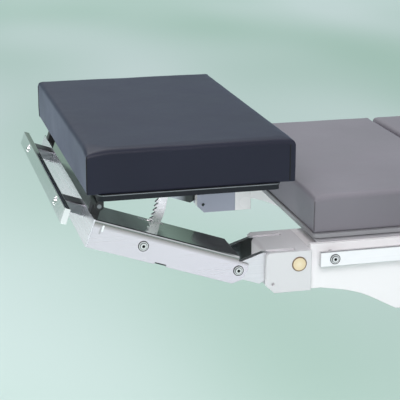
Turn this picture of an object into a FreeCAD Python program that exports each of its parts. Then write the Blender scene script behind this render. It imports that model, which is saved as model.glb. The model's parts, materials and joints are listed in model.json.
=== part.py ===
import FreeCAD, Part
import math
import os

# Modular operating table, millimetres. X runs from the head end to the foot end, Y to the far side, Z up.
# The origin is on the floor, midway between the two ends.
# Mirrored pieces of one rigid section share a node as separate solids.

Vec = FreeCAD.Vector
os.makedirs("parts", exist_ok=True)

# Table top heights and widths; widths are measured from the middle plane
pad_top = 900.0
pad_thick = 61.6
board_thick = 11.5
pad_half = 260.0
board_overhang = 2.0
board_half = pad_half + board_overhang
lip_inset = 4.0
lip_share = 0.42
upper_lip_corner = 12.0
lower_lip_corner = 10.0
pad_edge_radius = 10.0
side_gap = 4.0
side_inner = board_half + side_gap
side_thick = 10.0
arm_proud = 2.0
lug_thick = 10.0
side_clearance = 0.8
pad_bottom = pad_top - pad_thick
board_bottom = pad_bottom - board_thick
side_outer = side_inner + side_thick
lug_inner = side_outer + side_clearance
lug_outer = lug_inner + lug_thick

# Accessory rails, the standard 25 by 10 section
rail_height = 25.0
rail_thick = 10.0
rail_standoff = 14.0
rail_top = 819.8
rail_inner = side_outer + rail_standoff
rail_outer = rail_inner + rail_thick
rail_middle = rail_top - rail_height / 2
spacer_radius = 8.0
rail_edge_radius = 1.5
back_rail_places = (-599.8, -370.0, -140.0)
back_rail_ends = (-624.0, 0.0)
seat_rail_places = (188.0, 378.0)
seat_rail_ends = (138.0, 428.0)

# Socket screws with washers
screw_radius = 4.0
arm_screw_grip = 12.0
rail_screw_grip = rail_thick + rail_standoff + side_thick - 2.0
washer_radius = 8.5
washer_thick = 1.0
screw_head_radius = 5.6
screw_head_height = 1.4
socket_radius = 2.5
socket_depth = 1.6

# Places along the table
head_x = -1000.0
upper_back_x = -625.4
back_seam_x = -323.4
back_hinge_x = 92.0
leg_hinge_x = 487.0
leg_end_x = 1041.0
seam_gap = 3.0

# Section hinges
hinge_end_radius = 20.0
back_hinge_z = pad_top - hinge_end_radius
hinge_gap = 5.2
hinge_lean = math.tan(math.radians(16.0))
leg_hinge_z = 840.0
leg_gap = 4.0
lug_radius = 20.0
pin_radius = 8.0
pin_cap_radius = 13.0
pin_cap_thick = 3.0
running_clearance = 0.05

# Head pad, its tray and its board
head_pad_length = 337.0
head_pad_setback = 3.0
head_pad_half = side_outer + arm_proud - head_pad_setback
head_pad_thick = 69.0
head_board_z = 923.4
head_board_thick = 8.5
tray_thick = 1.5
head_pad_bottom = head_board_z + head_board_thick + tray_thick
head_pad_top = head_pad_bottom + head_pad_thick
tray_start = 20.0
tray_length = 295.0
tray_edge = 1.5
tray_corner = 10.0
head_board_corner = 9.0

# Head frame, drawn level from the brass pin and tilted up at rest
brass_x = -654.5
brass_z = 797.6
frame_tilt = 19.1
pin_along = 347.2
pin_above = 14.5
arm_half = side_outer + arm_proud
arm_height = 46.0
arm_width = 95.0
flange_end = 248.0
sheet = 2.5
arm_nose = ((0.0, 7.0), (18.0, 8.0), (20.0, 20.0), (16.0, 35.6), (2.0, 46.0))
arm_notch = (115.0, 135.0)
arm_notch_depth = 1.6
bend_radius = 5.0
inner_flange = 38.0
end_flange = 34.0
screw_places = ((89.0, 22.0), (253.0, 22.5))

# Accessory rail across the head end
head_rail_setback = 23.0
head_rail_half = arm_half - head_rail_setback
head_rail_gap = 33.8
head_rail_screw_inset = 84.0
head_rail_screw_y = head_rail_half - head_rail_screw_inset
head_spacer_half = 18.0
head_spacer_height = 20.0
head_spacer_corner = 3.0

# Plate hinge between the head end of the frame and the board
plate_hinge_x = head_x + 24.0
plate_hinge_z = 912.4
barrel_radius = 7.0
leaf_clearance = 1.5
hinge_pin_radius = 3.5
barrel_setback = 63.0
barrel_start = arm_half - barrel_setback
barrel_length = 13.5
barrel_gap = 0.5
bracket_length = 19.0
leaf_overhang = 2.0
leaf_reach = 34.0

# Toothed quadrants and their pawls
quadrant_inset = 7.0
quadrant_y = arm_half - arm_width + quadrant_inset
quadrant_thick = 6.0
quadrant_outer = 124.0
quadrant_root = 110.0
quadrant_tip = 105.0
quadrant_low_angle = -43.0
tooth_angle = 4.0
tooth_count = 9
quadrant_flange = (8.0, 9.0, 3.0)
slot_start = 91.0
slot_end = 135.0
slot_play = 1.5
pawl_along = 76.0
pawl_below = 30.0
pawl_hub = 7.0
pawl_pin = 3.0
pawl_tip_gap = 0.4
pawl_tip_angle = -37.0

# Cranked levers and the knuckles they swing in
lever_outer = arm_half - sheet
lever_outer_thick = 10.3
lever_inset = 6.0
lever_inner = arm_half - arm_width + lever_inset
lever_inner_thick = 8.0
lever_start = 70.0
lever_block_start = 150.0
lever_block_end = 236.0
lever_top = 8.0
lever_bottom = 35.7
lever_boss = 14.5
lever_bend = 253.0
lever_shoulder = (284.0, -15.6)
lever_heel = (303.0, 27.6)
lever_toe = 295.7
lever_block_edge = 2.0
knuckle_width = 113.0
knuckle_proud = 5.0
knuckle_outer = arm_half + knuckle_proud
knuckle_inner = knuckle_outer - knuckle_width
knuckle_left = -710.3
knuckle_right = -634.0
knuckle_bottom = 751.0
knuckle_play = 0.5
knuckle_edge = 8.0
knuckle_chamfer = (15.2, 14.2)
knuckle_mark = (11.8, 15.9)
knuckle_mark_radius = 2.5
knuckle_mark_depth = 4.0
roof_start = 4.0
roof_play = 3.0
brass_radius = 8.0
brass_head_radius = 12.5
brass_head_thick = 5.0
brass_proud = 0.8
brass_chamfer = 0.6

# Side frames of the back; the sweep starts at the knuckle and gives heights below the pad top
side_depth = 197.6
side_deep = pad_top - side_depth
side_block_depth = 32.0
back_lug_slope = 152.0
back_lug_foot = 60.0
back_lug_heel = (16.0, 12.0)
back_lug_toe = (12.0, 16.0)
side_sweep_start = 19.0
side_sweep = ((62.5, 156.9), (89.0, 164.6), (125.3, 182.2), (154.0, side_depth))
back_bar_places = (-550.0, -345.0, -80.0)
bar_half_width = 20.0
bar_depth = 34.0
bar_wall = 3.0
bar_top = 4.0

# Side frames of the seat, with the strap that reaches the hinge of the back
seat_side_setback = (40.0, 31.0)
seat_side_start = back_hinge_x + seat_side_setback[0]
seat_side_end = leg_hinge_x - seat_side_setback[1]
seat_corner_depth = 66.9
seat_shoulder_depth = 36.9
seat_side_corner = board_bottom - seat_corner_depth
seat_shoulder = board_bottom - seat_shoulder_depth
seat_side_slope = 48.0
seat_side_rear = ((86.0, side_deep), (10.0, seat_shoulder))
seat_board_setback = 14.0
leg_lug_crown = 12.0
leg_lug_foot = (60.0, 70.0)
strap_width = 26.0
strap_shoulder = 30.0
strap_high = back_hinge_z - strap_shoulder

# Split leg plates, which fold down at the seat and spread apart on upright pivots
pivot_reach = 48.0
pivot_x = leg_hinge_x + pivot_reach
pivot_offset = 11.7
pivot_y = lug_inner + pivot_offset
pivot_radius = 6.0
ear_radius = 11.5
ear_low = (792.0, 804.0)
ear_high = (824.0, 836.0)
eye = (804.5, 823.5)
window_front = 14.0
window_back = 20.0
leg_split = 5.0
leg_board_split = 8.0
leg_board_start = 18.0
leg_board_corner = 12.0
leg_beam_half = 22.0
leg_beam_start = 60.0
leg_runner_inset = 70.0
leg_runner_width = 40.0
leg_runner_outer = pad_half - leg_runner_inset
leg_runner_inner = leg_runner_outer - leg_runner_width
leg_runner_depth = 16.0
leg_runner_end = 60.0

# Tilt head on top of the column
column_x = 250.0
tilt_z = 745.0
tilt_shaft = 14.0
cross_half_x = 60.0
cross_half_y = 57.0
cross_half_z = 25.0
fork_inner = 58.0
fork_thick = 18.0
fork_half = 38.0
fork_spread = 22.0
fork_crown = 26.0
fork_shoulder = 12.0
cross_corner = 8.0
beam_near = 74.0
beam_thick = 20.0
beam_foot_half = 46.0
beam_shoulder_half = 110.0
beam_shoulder_drop = 14.0
beam_shoulder = seat_shoulder - beam_shoulder_drop
shaft_end = 6.0
head_plate_top = 640.0
head_plate_thick = 12.0

# Telescoping column
sleeve_wall = 3.0
sleeve_play = 2.0
sleeve_half_x = 92.0
sleeve_half_y = 72.0
sleeve_corner = 24.0
runner_thick = 1.7
runner_half = 30.0
runner_drop = 40.0
runner_top = 5.0
lower_sleeve_top = 470.0
middle_sleeve = (262.0, 560.0)
upper_sleeve_bottom = 410.0
post_radius = 42.0
post_bottom = 210.0
guide_wall = 9.0
guide_bottom = 76.0
guide_top = 450.0

# Base with its feet and castors
base_front = -310.0
base_back = 710.0
base_half = 265.0
cross_foot = 124.0
spine_half = 112.0
chassis_bottom = 92.0
chassis_top = 128.0
cover_wall = 6.0
hump_half_x = 170.0
hump_half_y = 106.0
hump_top = 172.0
hump_corner = 16.0
cover_skirt = 4.0
cover_crown = 12.0
cover_edge = 10.0
foot_inset = 94.0
foot_radius = 22.0
foot_thick = 14.0
foot_stem = 9.0
wheel_radius = 37.5
wheel_width = 14.0
wheel_gap = 3.0
wheel_chamfer = 2.5
wheel_lift = 3.0
castor_trail = 22.0
castor_post = 8.0
castor_post_depth = 28.0
castor_plate_radius = 20.0
castor_plate_bottom = 82.0
castor_play = 0.5
axle_radius = 4.0
castor_inset = 54.0
castor_y = 205.0
foot_spacing = 80.0
foot_y = castor_y - foot_spacing
castor_places = [(x, y) for x in (base_front + castor_inset, base_back - castor_inset) for y in (castor_y, -castor_y)]
foot_places = [(x, y) for x in (base_front + foot_inset, base_back - foot_inset) for y in (foot_y, -foot_y)]


def box(x0, x1, y0, y1, z0, z1):
    return Part.makeBox(x1 - x0, y1 - y0, z1 - z0, Vec(x0, y0, z0))


def prism_xz(points, y0, y1):
    """Outline in X and Z, extruded along Y."""
    corners = [Vec(x, y0, z) for x, z in points]
    wire = Part.makePolygon(corners + [corners[0]])
    return Part.Face(wire).extrude(Vec(0, y1 - y0, 0))


def prism_xy(points, z0, z1):
    """Outline in X and Y, extruded along Z."""
    corners = [Vec(x, y, z0) for x, y in points]
    wire = Part.makePolygon(corners + [corners[0]])
    return Part.Face(wire).extrude(Vec(0, 0, z1 - z0))


def prism_yz(points, x0, x1):
    """Outline in Y and Z, extruded along X."""
    corners = [Vec(x0, y, z) for y, z in points]
    wire = Part.makePolygon(corners + [corners[0]])
    return Part.Face(wire).extrude(Vec(x1 - x0, 0, 0))


def rod_x(y, z, radius, x0, x1):
    return Part.makeCylinder(radius, x1 - x0, Vec(x0, y, z), Vec(1, 0, 0))


def rod_y(x, z, radius, y0, y1):
    return Part.makeCylinder(radius, y1 - y0, Vec(x, y0, z), Vec(0, 1, 0))


def rod_z(x, y, radius, z0, z1):
    return Part.makeCylinder(radius, z1 - z0, Vec(x, y, z0), Vec(0, 0, 1))


def fuse(shapes):
    """Join touching shapes into one solid with clean faces."""
    joined = shapes[0]
    for shape in shapes[1:]:
        joined = joined.fuse(shape)
    return joined.removeSplitter()


def cut(shape, tools):
    for tool in tools:
        shape = shape.cut(tool)
    return shape


def mirrored(shape):
    return shape.mirror(Vec(0, 0, 0), Vec(0, 1, 0))


def group(shapes):
    return Part.makeCompound(shapes)


def pair(shape):
    """The far piece and its mirror image on the near side."""
    return group([shape, mirrored(shape)])


def export(node, shape):
    shape.exportStep("parts/" + node + ".step")


def soften(shape, radius, test):
    """Round the edges whose bounding boxes pass the test."""
    return shape.makeFillet(radius, [edge for edge in shape.Edges if test(edge.BoundBox)])


def bevel(shape, size, test):
    """Chamfer the edges whose bounding boxes pass the test."""
    return shape.makeChamfer(size, [edge for edge in shape.Edges if test(edge.BoundBox)])


def is_vertical(bounds):
    return bounds.ZLength > 1.0 and bounds.XLength < 0.01 and bounds.YLength < 0.01


def rounded_plate(x0, x1, half, z0, z1, radius):
    """Flat plate with rounded corners."""
    return soften(box(x0, x1, -half, half, z0, z1), radius, is_vertical)


def cushion(x0, x1, y0, y1, start="plain", end="plain"):
    """Pad with rounded top edges; a round end clears a hinge, and a leaning one also draws back below it."""
    drop = (back_hinge_z - pad_bottom) * hinge_lean
    outline = [(x0, pad_top), (x1, pad_top)]
    outline += [(x1, back_hinge_z), (x1 - drop, pad_bottom)] if end == "leaning" else [(x1, pad_bottom)]
    outline += [(x0 + drop, pad_bottom), (x0, back_hinge_z)] if start == "leaning" else [(x0, pad_bottom)]
    pad = prism_xz(outline, y0, y1)
    for x, kind in ((x0, start), (x1, end)):
        if kind != "plain":
            pad = soften(pad, hinge_end_radius - 0.2, lambda b: b.ZMin > pad_top - 0.01 and abs(b.Center.x - x) < 0.01)
    return soften(pad, pad_edge_radius, lambda b: b.ZMin > pad_top - 0.01)


def lipped_board(x0, x1, half):
    """Board whose lower half steps in, so its edge shows a double lip."""
    step = board_bottom + board_thick * lip_share
    upper = rounded_plate(x0, x1, half, step, pad_bottom, upper_lip_corner)
    lower = rounded_plate(x0 + lip_inset, x1 - lip_inset, half - lip_inset, board_bottom, step, lower_lip_corner)
    return fuse([upper, lower])


def screw(x, z, face_y, grip):
    """Socket screw with its washer on a face that looks towards the far side."""
    washer = rod_y(x, z, washer_radius, face_y, face_y + washer_thick)
    top = face_y + washer_thick + screw_head_height
    head = rod_y(x, z, screw_head_radius, face_y, top)
    shank = screw_hole(x, z, face_y, grip)
    socket = [(x + across, z + up) for across, up in hexagon(socket_radius)]
    return fuse([washer, head, shank]).cut(prism_xz(socket, top - socket_depth, top))


def hexagon(radius):
    return [(radius * math.cos(math.pi * turn / 3), radius * math.sin(math.pi * turn / 3)) for turn in range(6)]


def screw_hole(x, z, face_y, grip):
    return rod_y(x, z, screw_radius, face_y - grip, face_y)


def rail_holes(places):
    return [screw_hole(x, rail_middle, rail_outer, rail_screw_grip) for x in places]


def side_rail(prefix, x0, x1, places):
    """Accessory rails of a section on both sides, with spacers and screws."""
    rail = box(x0, x1, rail_inner, rail_outer, rail_top - rail_height, rail_top)
    rail = soften(rail, rail_edge_radius, lambda b: b.XLength > rail_height)
    rail = cut(rail, rail_holes(places))
    spacers = [rod_y(x, rail_middle, spacer_radius, side_outer, rail_inner) for x in places]
    spacers = [cut(spacer, rail_holes(places)) for spacer in spacers]
    screws = [screw(x, rail_middle, rail_outer, rail_screw_grip) for x in places]
    fixings = spacers + screws
    export(prefix + "_rails", pair(rail))
    export(prefix + "_rail_fixings", group(fixings + [mirrored(piece) for piece in fixings]))


def in_frame(shape):
    """Place a head frame piece that is drawn level with the brass pin at its origin."""
    placed = shape.copy()
    placed.rotate(Vec(0, 0, 0), Vec(0, 1, 0), frame_tilt)
    placed.translate(Vec(brass_x, 0, brass_z))
    return placed


def along(distance):
    """Level X of a place measured along the arm from its head corner."""
    return distance - pin_along


def below(depth):
    """Level Z of a place measured down from the top of the arm."""
    return -(depth + pin_above)


def arm_outline(places):
    return [(along(distance), below(depth)) for distance, depth in places]


def frame_place(x, z):
    """Distance along the arm and depth below its top of a point of the table."""
    tilt = math.radians(frame_tilt)
    dx = x - brass_x
    dz = z - brass_z
    level_x = dx * math.cos(tilt) - dz * math.sin(tilt)
    level_z = dx * math.sin(tilt) + dz * math.cos(tilt)
    return level_x + pin_along, -level_z - pin_above


def quadrant_spot(radius, angle):
    turn = math.radians(angle)
    return (plate_hinge_x + radius * math.cos(turn), plate_hinge_z + radius * math.sin(turn))


def head_plate():
    """Dark pad, bright tray and board of the head section."""
    tray_bottom = head_board_z + head_board_thick
    pad = box(head_x, head_x + head_pad_length, -head_pad_half, head_pad_half, head_pad_bottom, head_pad_top)
    export("head_pad", soften(pad, pad_edge_radius, lambda b: b.ZMin > head_pad_top - 0.01))
    start = head_x + tray_start
    end = start + tray_length
    export("head_tray", rounded_plate(start, end, head_pad_half, tray_bottom, head_pad_bottom, tray_corner))
    half = head_pad_half - tray_edge
    board = rounded_plate(start + tray_edge, end - tray_edge, half, head_board_z, tray_bottom, head_board_corner)
    export("head_board", board)


def head_hinges():
    """Black hinges between the board and the head end of the frame."""
    x = plate_hinge_x
    z = plate_hinge_z
    leaf_bottom = z + barrel_radius + leaf_clearance
    bracket_y = barrel_start + barrel_length + barrel_gap
    second_y = bracket_y + bracket_length + barrel_gap
    barrel_end = second_y + barrel_length
    pieces = [box(x - leaf_overhang, x + leaf_reach, barrel_start, barrel_end, leaf_bottom, head_board_z)]
    for y in (barrel_start, second_y):
        pieces.append(rod_y(x, z, barrel_radius, y, y + barrel_length))
        pieces.append(box(x - leaf_overhang, x + barrel_radius, y, y + barrel_length, z, head_board_z))
    leaf = fuse(pieces).cut(rod_y(x, z, hinge_pin_radius, barrel_start, barrel_end))
    export("head_hinge_leaves", pair(leaf))
    axis_s, axis_h = frame_place(x, z)
    stem = box(along(axis_s - barrel_radius), along(axis_s + barrel_radius), bracket_y,
               bracket_y + bracket_length, below(0.0), below(axis_h))
    barrel = rod_y(along(axis_s), below(axis_h), barrel_radius, bracket_y, bracket_y + bracket_length)
    bore = rod_y(x, z, hinge_pin_radius + running_clearance, barrel_start, barrel_end)
    export("head_hinge_brackets", pair(in_frame(fuse([stem, barrel])).cut(bore)))
    export("head_hinge_pins", pair(rod_y(x, z, hinge_pin_radius, barrel_start, barrel_end)))


def quadrants():
    """Toothed arcs centred on the plate hinge, each with a foot under the board."""
    y0 = quadrant_y
    y1 = quadrant_y + quadrant_thick
    x = plate_hinge_x
    z = plate_hinge_z
    ring = rod_y(x, z, quadrant_outer, y0, y1).cut(rod_y(x, z, quadrant_root, y0, y1))
    wedge = prism_xz([(x, z), quadrant_spot(2 * quadrant_outer, quadrant_low_angle),
                      (x + 2 * quadrant_outer, z)], y0, y1)
    teeth = []
    for index in range(tooth_count):
        angle = quadrant_low_angle + index * tooth_angle
        teeth.append(prism_xz([quadrant_spot(quadrant_root + 2.0, angle), quadrant_spot(quadrant_tip, angle),
                               quadrant_spot(quadrant_root + 1.0, angle + tooth_angle)], y0, y1))
    foot_x = x + quadrant_root
    foot = box(foot_x, x + quadrant_outer, y0, y1, z - 1.0, head_board_z)
    front, side, thick = quadrant_flange
    flange = box(foot_x - front, x + quadrant_outer + front / 2, y0 - side, y1 + side, head_board_z - thick,
                 head_board_z)
    export("ratchet_quadrants", pair(fuse([ring.common(wedge), foot, flange] + teeth)))


def head_arms():
    """Folded side channels of the head frame: side plate, polished top and inner flange."""
    nose = [(flange_end + reach, depth) for reach, depth in arm_nose]
    side_places = [(sheet, 0.0), (flange_end, 0.0)] + nose + [(sheet, arm_height)]
    plate = prism_xz(arm_outline(side_places), arm_half - sheet, arm_half)
    inner = arm_half - arm_width
    top = box(along(sheet), along(flange_end), inner, arm_half, below(sheet), below(0.0))
    flange = box(along(sheet), along(flange_end), inner, inner + sheet, below(inner_flange), below(0.0))
    arm = fuse([plate, top, flange])
    arm = soften(arm, bend_radius, lambda b: b.YMin > arm_half - 0.01 and b.ZMin > below(0.0) - 0.01
                 and b.XLength > arm_width)
    slot = box(along(slot_start), along(slot_end), quadrant_y - slot_play, quadrant_y + quadrant_thick + slot_play,
               below(sheet + 1.0), below(-1.0))
    notch = box(along(arm_notch[0]), along(arm_notch[1]), arm_half - 3 * sheet, arm_half + 1.0,
                below(arm_height + 1.0), below(arm_height - arm_notch_depth))
    holes = [screw_hole(along(s), below(h), arm_half, arm_screw_grip) for s, h in screw_places]
    export("head_arms", pair(in_frame(cut(arm, [slot, notch] + holes))))


def head_crossmember():
    """End channel that ties the two arms together at the head end."""
    inner = arm_half - arm_width
    face = box(along(0.0), along(sheet), -arm_half, arm_half, below(arm_height), below(0.0))
    top = box(along(0.0), along(end_flange), -inner, inner, below(sheet), below(0.0))
    lip = box(along(end_flange - sheet), along(end_flange), -inner, inner, below(inner_flange), below(0.0))
    export("head_crossmember", in_frame(fuse([face, top, lip])))


def cranked_levers():
    """Twin cranked plates on each side, joined by a block inside the channel."""
    places = [(lever_bend, lever_top), lever_shoulder, (pin_along - 3.0, -pin_above - lever_boss + 0.4),
              (pin_along + 9.0, -pin_above + 11.0), lever_heel, (lever_toe, lever_bottom)]
    holes = [screw_hole(along(s), below(h), arm_half, arm_screw_grip) for s, h in screw_places]

    def plate(start, y0, y1):
        outline = arm_outline([(start, lever_bottom), (start, lever_top)] + places)
        boss = rod_y(0.0, 0.0, lever_boss, y0, y1)
        return prism_xz(outline, y0, y1).fuse(boss)

    outer = plate(lever_start, lever_outer - lever_outer_thick, lever_outer)
    inner = plate(lever_block_start, lever_inner, lever_inner + lever_inner_thick)
    block = box(along(lever_block_start), along(lever_block_end), lever_inner, lever_outer,
                below(lever_bottom - lever_block_edge), below(lever_top + lever_block_edge))
    lever = fuse([outer, inner, block])
    bore = rod_y(0.0, 0.0, brass_radius + running_clearance, knuckle_inner, knuckle_outer)
    export("cranked_levers", pair(in_frame(cut(lever, holes + [bore]))))
    screws = [in_frame(screw(along(s), below(h), arm_half, arm_screw_grip)) for s, h in screw_places]
    export("lever_screws", group(screws + [mirrored(s) for s in screws]))


def head_rail():
    """Accessory rail across the head end on two spacers."""
    outer = -head_rail_gap - rail_thick
    middle = below(rail_height / 2)
    rail = box(along(outer), along(-head_rail_gap), -head_rail_half, head_rail_half, below(rail_height), below(0.0))
    rail = soften(rail, rail_edge_radius, lambda b: b.YLength > head_rail_half)
    grip = rail_thick + head_rail_gap
    places = (-head_rail_screw_y, head_rail_screw_y)
    holes = [rod_x(y, middle, screw_radius, along(outer), along(outer) + grip) for y in places]
    export("head_rail", in_frame(cut(rail, holes)))
    low = below(rail_height / 2 + head_spacer_height / 2)
    high = below(rail_height / 2 - head_spacer_height / 2)
    spacers = [box(along(-head_rail_gap), along(0.0), y - head_spacer_half, y + head_spacer_half, low, high)
               for y in places]
    spacers = [soften(s, head_spacer_corner, lambda b: b.XLength > head_rail_gap - 1.0) for s in spacers]
    export("head_rail_spacers", in_frame(group([cut(s, holes) for s in spacers])))
    screws = []
    for y in places:
        face = along(outer)
        washer = rod_x(y, middle, washer_radius, face - washer_thick, face)
        tip = face - washer_thick - screw_head_height
        head = rod_x(y, middle, screw_head_radius, tip, face)
        shank = rod_x(y, middle, screw_radius, face, face + grip)
        socket = [(y + across, middle + up) for across, up in hexagon(socket_radius)]
        screws.append(fuse([washer, head, shank]).cut(prism_yz(socket, tip, tip + socket_depth)))
    export("head_rail_screws", in_frame(group(screws)))


def pawls():
    """Spring pawls whose tips rest just clear of the quadrant teeth."""
    y0 = quadrant_y
    y1 = quadrant_y + quadrant_thick
    tip = frame_place(*quadrant_spot(quadrant_tip - pawl_tip_gap, pawl_tip_angle))
    back = frame_place(*quadrant_spot(quadrant_tip - pawl_tip_gap - 5.0, pawl_tip_angle + 3.0))
    outline = arm_outline([(pawl_along - 4.0, pawl_below - 5.5), back, tip, (pawl_along + 5.0, pawl_below + 5.0)])
    pin_x = along(pawl_along)
    pin_z = below(pawl_below)
    pawl = fuse([prism_xz(outline, y0, y1), rod_y(pin_x, pin_z, pawl_hub, y0, y1)])
    pawl = in_frame(pawl.cut(rod_y(pin_x, pin_z, pawl_pin + running_clearance, y0, y1)))
    export("pawl_far", pawl)
    export("pawl_near", mirrored(pawl))
    seat = arm_half - arm_width + sheet
    collar = rod_y(pin_x, pin_z, pawl_hub - 1.0, seat, y0 - 0.4)
    pin = rod_y(pin_x, pin_z, pawl_pin, seat, y1 + 2.0)
    stop = rod_y(pin_x, pin_z, pawl_hub - 1.0, y1 + 0.4, y1 + 2.4)
    export("pawl_pins", pair(in_frame(fuse([collar, pin, stop]))))


def knuckles():
    """Clevis housings that hold the brass pins, slotted for both lever plates."""
    body = box(knuckle_left, knuckle_right, knuckle_inner, knuckle_outer, knuckle_bottom, rail_top)
    body = soften(body, knuckle_edge, lambda b: b.XMax < knuckle_left + 0.01 and b.ZMin > rail_top - 0.01)
    across, up = knuckle_chamfer
    chamfer = prism_xz([(knuckle_left - 1.0, knuckle_bottom + up), (knuckle_left - 1.0, knuckle_bottom - 1.0),
                        (knuckle_left + across, knuckle_bottom - 1.0)], knuckle_inner, knuckle_outer)
    slot_end_x = brass_x + lever_boss + knuckle_play
    roof = brass_z + lever_boss + roof_play
    cuts = [chamfer]
    for y0, y1 in ((lever_outer - lever_outer_thick, lever_outer), (lever_inner, lever_inner + lever_inner_thick)):
        low = y0 - knuckle_play
        high = y1 + knuckle_play
        cuts.append(box(knuckle_left - 1.0, slot_end_x, low, high, knuckle_bottom - 1.0, roof))
        cuts.append(box(knuckle_left - 1.0, brass_x - roof_start, low, high, brass_z, rail_top + 1.0))
    cuts.append(rod_y(brass_x, brass_z, brass_radius, knuckle_inner, knuckle_outer))
    cuts.append(rod_y(brass_x, brass_z, brass_head_radius, knuckle_outer - brass_head_thick + brass_proud,
                      knuckle_outer))
    cuts.append(rod_y(knuckle_left + knuckle_mark[0], knuckle_bottom + knuckle_mark[1], knuckle_mark_radius,
                      knuckle_outer - knuckle_mark_depth, knuckle_outer))
    export("knuckles", pair(cut(body, cuts).removeSplitter()))
    shank = rod_y(brass_x, brass_z, brass_radius, knuckle_inner, knuckle_outer - brass_head_thick + brass_proud)
    head = rod_y(brass_x, brass_z, brass_head_radius, knuckle_outer - brass_head_thick + brass_proud,
                 knuckle_outer + brass_proud)
    head = bevel(head, brass_chamfer, lambda b: b.YMin > knuckle_outer)
    export("knuckle_pins", pair(fuse([head, shank])))


def back_sides():
    """White side frames of the back: shallow at the knuckle, deep towards the hinge with the seat."""
    sweep = [(knuckle_right + side_sweep_start, knuckle_bottom)]
    sweep += [(knuckle_right + reach, pad_top - depth) for reach, depth in side_sweep]
    curve = Part.BSplineCurve()
    curve.interpolate([Vec(x, side_inner, z) for x, z in sweep])
    straight = [sweep[-1], (back_hinge_x - back_lug_slope, side_deep),
                (back_hinge_x + back_lug_toe[0], back_hinge_z - back_lug_toe[1]), (back_hinge_x, back_hinge_z),
                (back_hinge_x - back_lug_heel[0], back_hinge_z - back_lug_heel[1]),
                (back_hinge_x - back_lug_foot, board_bottom), (knuckle_right, board_bottom),
                (knuckle_right, knuckle_bottom), sweep[0]]
    lines = [Part.LineSegment(Vec(a[0], side_inner, a[1]), Vec(b[0], side_inner, b[1])).toShape()
             for a, b in zip(straight, straight[1:])]
    wire = Part.Wire([curve.toShape()] + lines)
    plate = Part.Face(wire).extrude(Vec(0, side_thick, 0))
    lug = rod_y(back_hinge_x, back_hinge_z, lug_radius, side_inner, side_outer)
    block = box(knuckle_right, knuckle_right + side_block_depth, knuckle_inner, side_inner, knuckle_bottom, rail_top)
    side = fuse([plate, lug, block])
    holes = rail_holes(back_rail_places)
    bore = rod_y(back_hinge_x, back_hinge_z, pin_radius + running_clearance, side_inner, side_outer)
    export("back_sides", pair(cut(side, holes + [bore])))


def back_section():
    """Two light pads on lipped boards, carried by bars between the side frames."""
    hinge_end = back_hinge_x - hinge_gap
    export("upper_back_pad", cushion(upper_back_x, back_seam_x, -pad_half, pad_half))
    export("lower_back_pad", cushion(back_seam_x + seam_gap, hinge_end, -pad_half, pad_half, end="leaning"))
    export("upper_back_board", lipped_board(upper_back_x + 1.0, back_seam_x, board_half))
    drop = (back_hinge_z - board_bottom) * hinge_lean
    export("lower_back_board", lipped_board(back_seam_x + seam_gap, hinge_end - drop, board_half))
    bars = []
    for x in back_bar_places:
        bar = box(x - bar_half_width, x + bar_half_width, -side_inner, side_inner, board_bottom - bar_depth,
                  board_bottom)
        hollow = box(x - bar_half_width + bar_wall, x + bar_half_width - bar_wall, -side_inner, side_inner,
                     board_bottom - bar_depth - 1.0, board_bottom - bar_top)
        bars.append(bar.cut(hollow))
    export("back_crossbars", group(bars))
    side_rail("back", *back_rail_ends, back_rail_places)


def seat_section():
    """Seat pad and board on side castings that carry both section hinges."""
    start = back_hinge_x + hinge_gap
    end = leg_hinge_x - leg_gap
    export("seat_pad", cushion(start, end, -pad_half, pad_half, "leaning", "round"))
    drop = (back_hinge_z - board_bottom) * hinge_lean
    export("seat_board", lipped_board(start + drop, leg_hinge_x - seat_board_setback, board_half))
    left = seat_side_start
    right = seat_side_end
    strap_end = left + strap_width
    profile = [(left, board_bottom), (left, seat_side_corner), (left + seat_side_slope, side_deep)]
    profile += [(right - setback, height) for setback, height in seat_side_rear]
    profile += [(right, leg_hinge_z - lug_radius - 2.0), (leg_hinge_x, leg_hinge_z - lug_radius + 0.5),
                (leg_hinge_x, leg_hinge_z + leg_lug_crown), (leg_hinge_x - leg_lug_foot[0], board_bottom + 4.0),
                (leg_hinge_x - leg_lug_foot[1], board_bottom)]
    plate = prism_xz(profile, side_inner, side_outer)
    leg_lug = rod_y(leg_hinge_x, leg_hinge_z, lug_radius, side_inner, side_outer)
    bridge = box(left, strap_end, side_outer - 1.0, lug_outer, seat_side_corner, board_bottom)
    strap = prism_xz([(left, seat_shoulder), (strap_end, seat_shoulder), (strap_end, strap_high),
                      (back_hinge_x + 12.0, back_hinge_z + 16.0),
                      (back_hinge_x - 15.0, back_hinge_z - 13.0)], lug_inner, lug_outer)
    back_lug = rod_y(back_hinge_x, back_hinge_z, lug_radius, lug_inner, lug_outer)
    side = fuse([plate, leg_lug, bridge, strap, back_lug])
    holes = rail_holes(seat_rail_places)
    pins = [rod_y(back_hinge_x, back_hinge_z, pin_radius, side_inner, lug_outer),
            rod_y(leg_hinge_x, leg_hinge_z, pin_radius, side_inner, side_outer)]
    export("seat_sides", pair(cut(side, holes + pins)))
    cap = bevel(rod_y(back_hinge_x, back_hinge_z, pin_cap_radius, lug_outer, lug_outer + pin_cap_thick), 1.0,
                lambda b: b.YMin > lug_outer + pin_cap_thick / 2)
    back_pin = fuse([rod_y(back_hinge_x, back_hinge_z, pin_radius, side_inner, lug_outer), cap])
    leg_pin = rod_y(leg_hinge_x, leg_hinge_z, pin_radius, side_inner, lug_outer)
    export("section_hinge_pins", group([back_pin, mirrored(back_pin), leg_pin, mirrored(leg_pin)]))
    side_rail("seat", *seat_rail_ends, seat_rail_places)


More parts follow.
